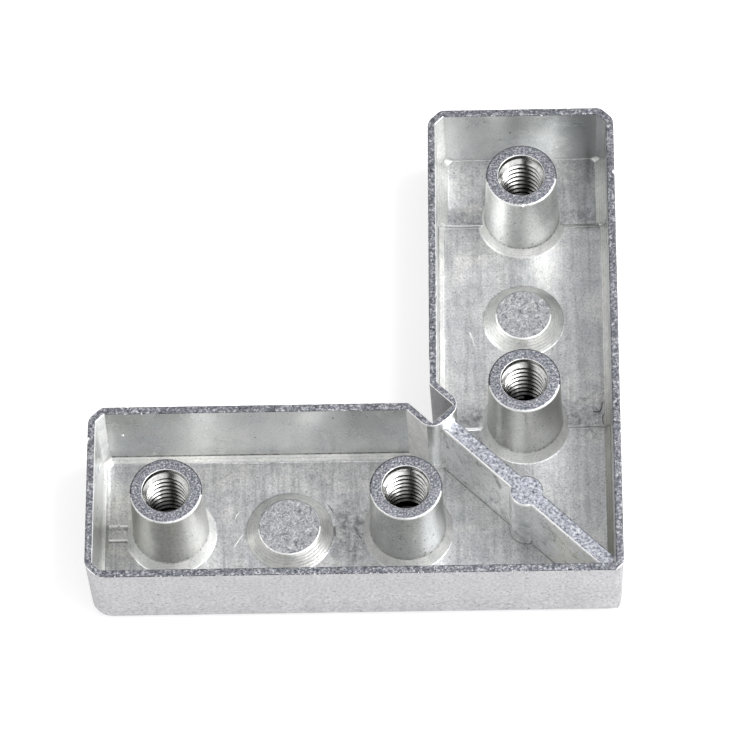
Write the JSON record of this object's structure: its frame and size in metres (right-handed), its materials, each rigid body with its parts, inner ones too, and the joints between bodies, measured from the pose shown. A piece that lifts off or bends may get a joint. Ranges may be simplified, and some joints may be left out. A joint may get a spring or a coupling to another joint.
{
  "type": "angle bracket",
  "caption": "Die-cast L-shaped tray bracket with threaded bosses flush with its rim, a diagonal stiffening rib and a square notch in the inner corner, for joining a frame at right angles.",
  "frame": {"origin": "crossing of the two arm centre lines on the flat outer face, under the rib's round post", "axes": "-X along the first arm, +Y along the second arm, +Z from the outer face to the open rim"},
  "size_m": [0.067, 0.067, 0.013],
  "materials": {
    "cast_aluminium": "bare die-cast aluminium, smooth inside the tray, rough and speckled on the rim, boss tops and rib"
  },
  "bodies": {
    "root": {"bracket": "cast_aluminium"}
  },
  "joints": []
}
